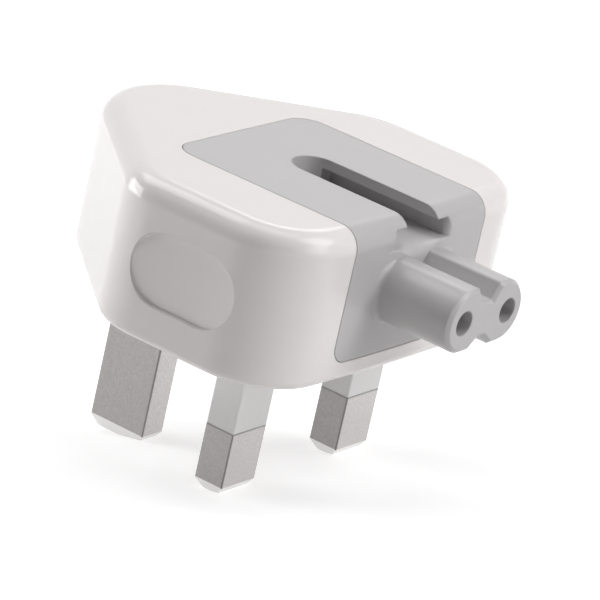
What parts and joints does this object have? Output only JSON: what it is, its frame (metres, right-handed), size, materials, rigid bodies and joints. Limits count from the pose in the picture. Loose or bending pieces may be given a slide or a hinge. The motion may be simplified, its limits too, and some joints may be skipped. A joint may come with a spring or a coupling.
{
  "type": "uk three pin plug",
  "caption": "UK three pin plug head with a white shield-shaped shell, a flush grey slide insert and a figure-eight connector spigot.",
  "frame": {"origin": "on the pin face, on the plane of symmetry, midway between the earth pin and the row of the other two pins", "axes": "-Z along the pins into the socket, +Y from the row of two pins towards the earth pin, -Y out of the connector spigot, +X towards the line pin"},
  "size_m": [0.048, 0.0542, 0.0411],
  "materials": {
    "white_plastic": "polished white moulding",
    "grey_plastic": "satin grey moulding",
    "carrier_plastic": "plain natural moulding",
    "pin_metal": "dull nickel plate with a fine grain",
    "sleeve_plastic": "satin pale grey sleeve",
    "contact_metal": "tin plate",
    "strip_metal": "bare rolled brass",
    "fuse_ceramic": "glazed ceramic tube",
    "fuse_metal": "nickel plate"
  },
  "bodies": {
    "root": {"outer_shell": "white_plastic", "base_plate": "white_plastic", "connector_insert": "grey_plastic", "pin_carrier": "carrier_plastic", "contact_retainer": "carrier_plastic", "earth_pin": "pin_metal", "line_pin": "pin_metal", "neutral_pin": "pin_metal", "line_sleeve": "sleeve_plastic", "neutral_sleeve": "sleeve_plastic", "line_contact": "contact_metal", "neutral_contact": "contact_metal", "neutral_strip": "strip_metal", "fuse_clip_line": "strip_metal", "fuse_clip_load": "strip_metal", "fuse_barrel": "fuse_ceramic", "fuse_cap_line": "fuse_metal", "fuse_cap_load": "fuse_metal", "fuse_wire": "fuse_metal"}
  },
  "joints": []
}
